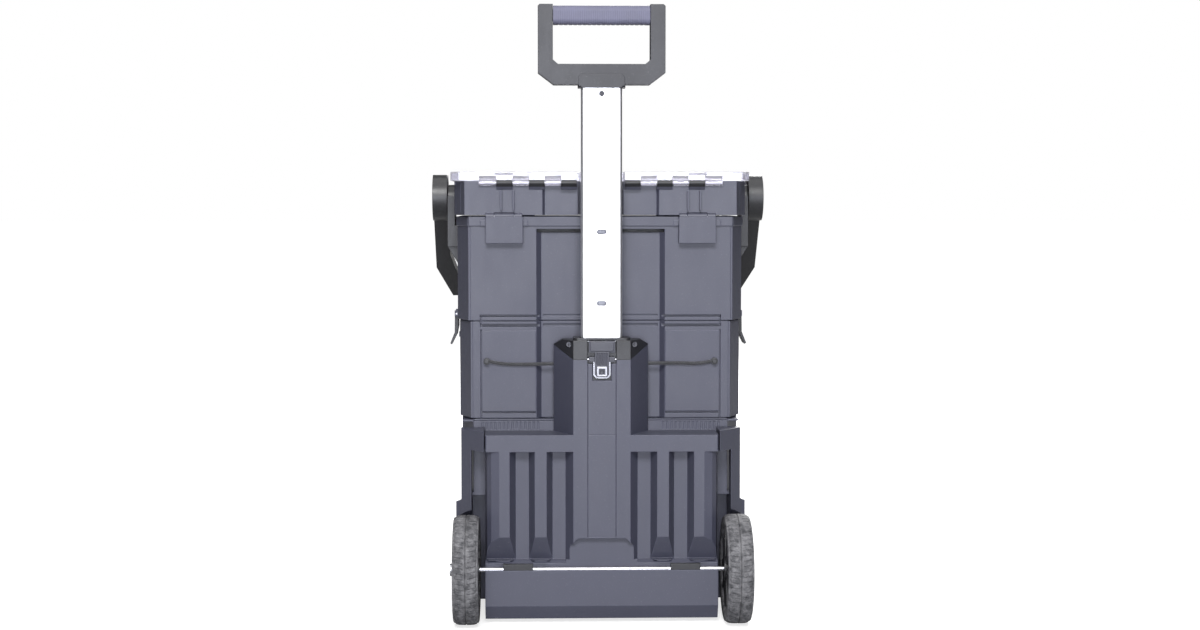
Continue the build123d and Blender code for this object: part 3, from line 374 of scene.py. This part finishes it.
def tyre_section(half, crown):
    """X, radius and whether the point is on the tread, from one bead to the other."""
    side = [(-half + inset, radius, False) for inset, radius in BEAD]
    tread = []
    for i in range(TREAD_RINGS + 1):
        x = -half + SHOULDER + 2 * (half - SHOULDER) * i / TREAD_RINGS
        edge = abs(x) / (half - SHOULDER)
        tread.append((x, crown - 3.0 * edge ** 6 - 0.5 * edge ** 2, True))
    return side + tread + [(-x, radius, flag) for x, radius, flag in reversed(side)]


def build_tyre(word):
    low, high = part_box("tyre_" + word)
    center_x, center_y, center_z = ((a + b) / 2 for a, b in zip(low, high))
    half = (high[0] - low[0]) / 2 / MM
    crown = (high[2] - low[2]) / 2 / MM
    section = tyre_section(half, crown)
    bm = bmesh.new()
    rings = []
    for k in range(TURN_STEPS):
        angle = 2 * math.pi * k / TURN_STEPS
        ring = []
        for x, radius, on_tread in section:
            if on_tread:
                radius -= tyre_drop(angle + (BLOCK_SHIFT if x > 0 else 0.0), x, half)
            y = center_y + radius * MM * math.cos(angle)
            z = center_z + radius * MM * math.sin(angle)
            ring.append(bm.verts.new((center_x + x * MM, y, z)))
        rings.append(ring)
    for a, b in zip(rings, rings[1:] + rings[:1]):
        for i in range(len(section) - 1):
            bm.faces.new((a[i], a[i + 1], b[i + 1], b[i]))
        bm.faces.new((a[-1], a[0], b[0], b[-1]))
    tyre = link_mesh("tread_" + word, bm, "tyre_rubber")
    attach(tyre, "wheel_" + word)
    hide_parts("tyre_" + word)


for word in ("left", "right"):
    build_tyre(word)

# ---------- floor, light ----------
WHITE = (1.0, 1.0, 1.0, 1.0)
SKY_LIGHT = 0.05  # what the sky gives the object; the camera sees it white
floor_mesh = bpy.data.meshes.new("floor")
bm = bmesh.new()
bmesh.ops.create_grid(bm, x_segments=1, y_segments=1, size=60.0)
bm.to_mesh(floor_mesh)
bm.free()
floor = bpy.data.objects.new("floor", floor_mesh)
bpy.context.scene.collection.objects.link(floor)
paper = Tree("floor_paper", rough=0.8, specular=0.1)
paper.shader.inputs["Emission Color"].default_value = WHITE
# the paper brightens away from the box until it matches the white backdrop
spread = paper.add("ShaderNodeVectorMath", operation="LENGTH")
paper.link(paper.coords, spread.inputs[0])
ray = paper.add("ShaderNodeLightPath")
seen = paper.math("MAXIMUM", ray.outputs["Is Camera Ray"], ray.outputs["Is Transmission Ray"])
glow = paper.remap(spread.outputs["Value"], 0.6, 2.2, 0.72, 1.0)
glow = paper.math("MULTIPLY", glow, paper.remap(seen, 0.0, 1.0, 0.06, 1.0))
paper.link(glow, paper.shader.inputs["Emission Strength"])
tone = paper.mix(paper.remap(paper.noise(2.0), 0.3, 0.7), (0.42, 0.42, 0.425), (0.45, 0.45, 0.45))
paper.done(tone, paper.remap(paper.noise(5.0), 0.3, 0.7, 0.78, 0.86), paper.bump(paper.noise(300.0), 0.00005))
floor_mesh.materials.append(paper.mat)

world = bpy.data.worlds.new("studio")
bpy.context.scene.world = world
world.use_nodes = True
backdrop = world.node_tree.nodes["Background"]
backdrop.inputs["Color"].default_value = WHITE
path = world.node_tree.nodes.new("ShaderNodeLightPath")
level = world.node_tree.nodes.new("ShaderNodeMapRange")
level.inputs["To Min"].default_value = SKY_LIGHT
level.inputs["To Max"].default_value = 1.0
seen = world.node_tree.nodes.new("ShaderNodeMath")
seen.operation = "MAXIMUM"
world.node_tree.links.new(path.outputs["Is Camera Ray"], seen.inputs[0])
world.node_tree.links.new(path.outputs["Is Transmission Ray"], seen.inputs[1])
world.node_tree.links.new(seen.outputs[0], level.inputs["Value"])
world.node_tree.links.new(level.outputs[0], backdrop.inputs["Strength"])


def softbox(name, place, aim, size, watts, color=(1.0, 1.0, 1.0)):
    light = bpy.data.lights.new(name, "AREA")
    light.color = color
    light.shape = "RECTANGLE"
    light.size, light.size_y = size
    light.energy = watts
    obj = bpy.data.objects.new(name, light)
    obj.location = place
    obj.rotation_euler = (Vector(aim) - Vector(place)).to_track_quat("-Z", "Y").to_euler()
    bpy.context.scene.collection.objects.link(obj)


softbox("rear_key", (0.3, 4.3, 3.4), (0.0, 0.1, 0.45), (2.4, 1.5), 330.0)
softbox("rear_sheen", (0.1, 5.2, 0.72), (0.0, 0.1, 0.45), (2.2, 1.4), 150.0, (0.87, 0.90, 1.0))
softbox("front_key", (-1.2, -4.6, 2.4), (0.0, -0.1, 0.45), (2.0, 2.0), 300.0)
softbox("overhead", (0.0, 0.2, 4.2), (0.0, 0.0, 0.0), (4.0, 4.0), 110.0)
bpy.context.scene.view_settings.view_transform = "Standard"
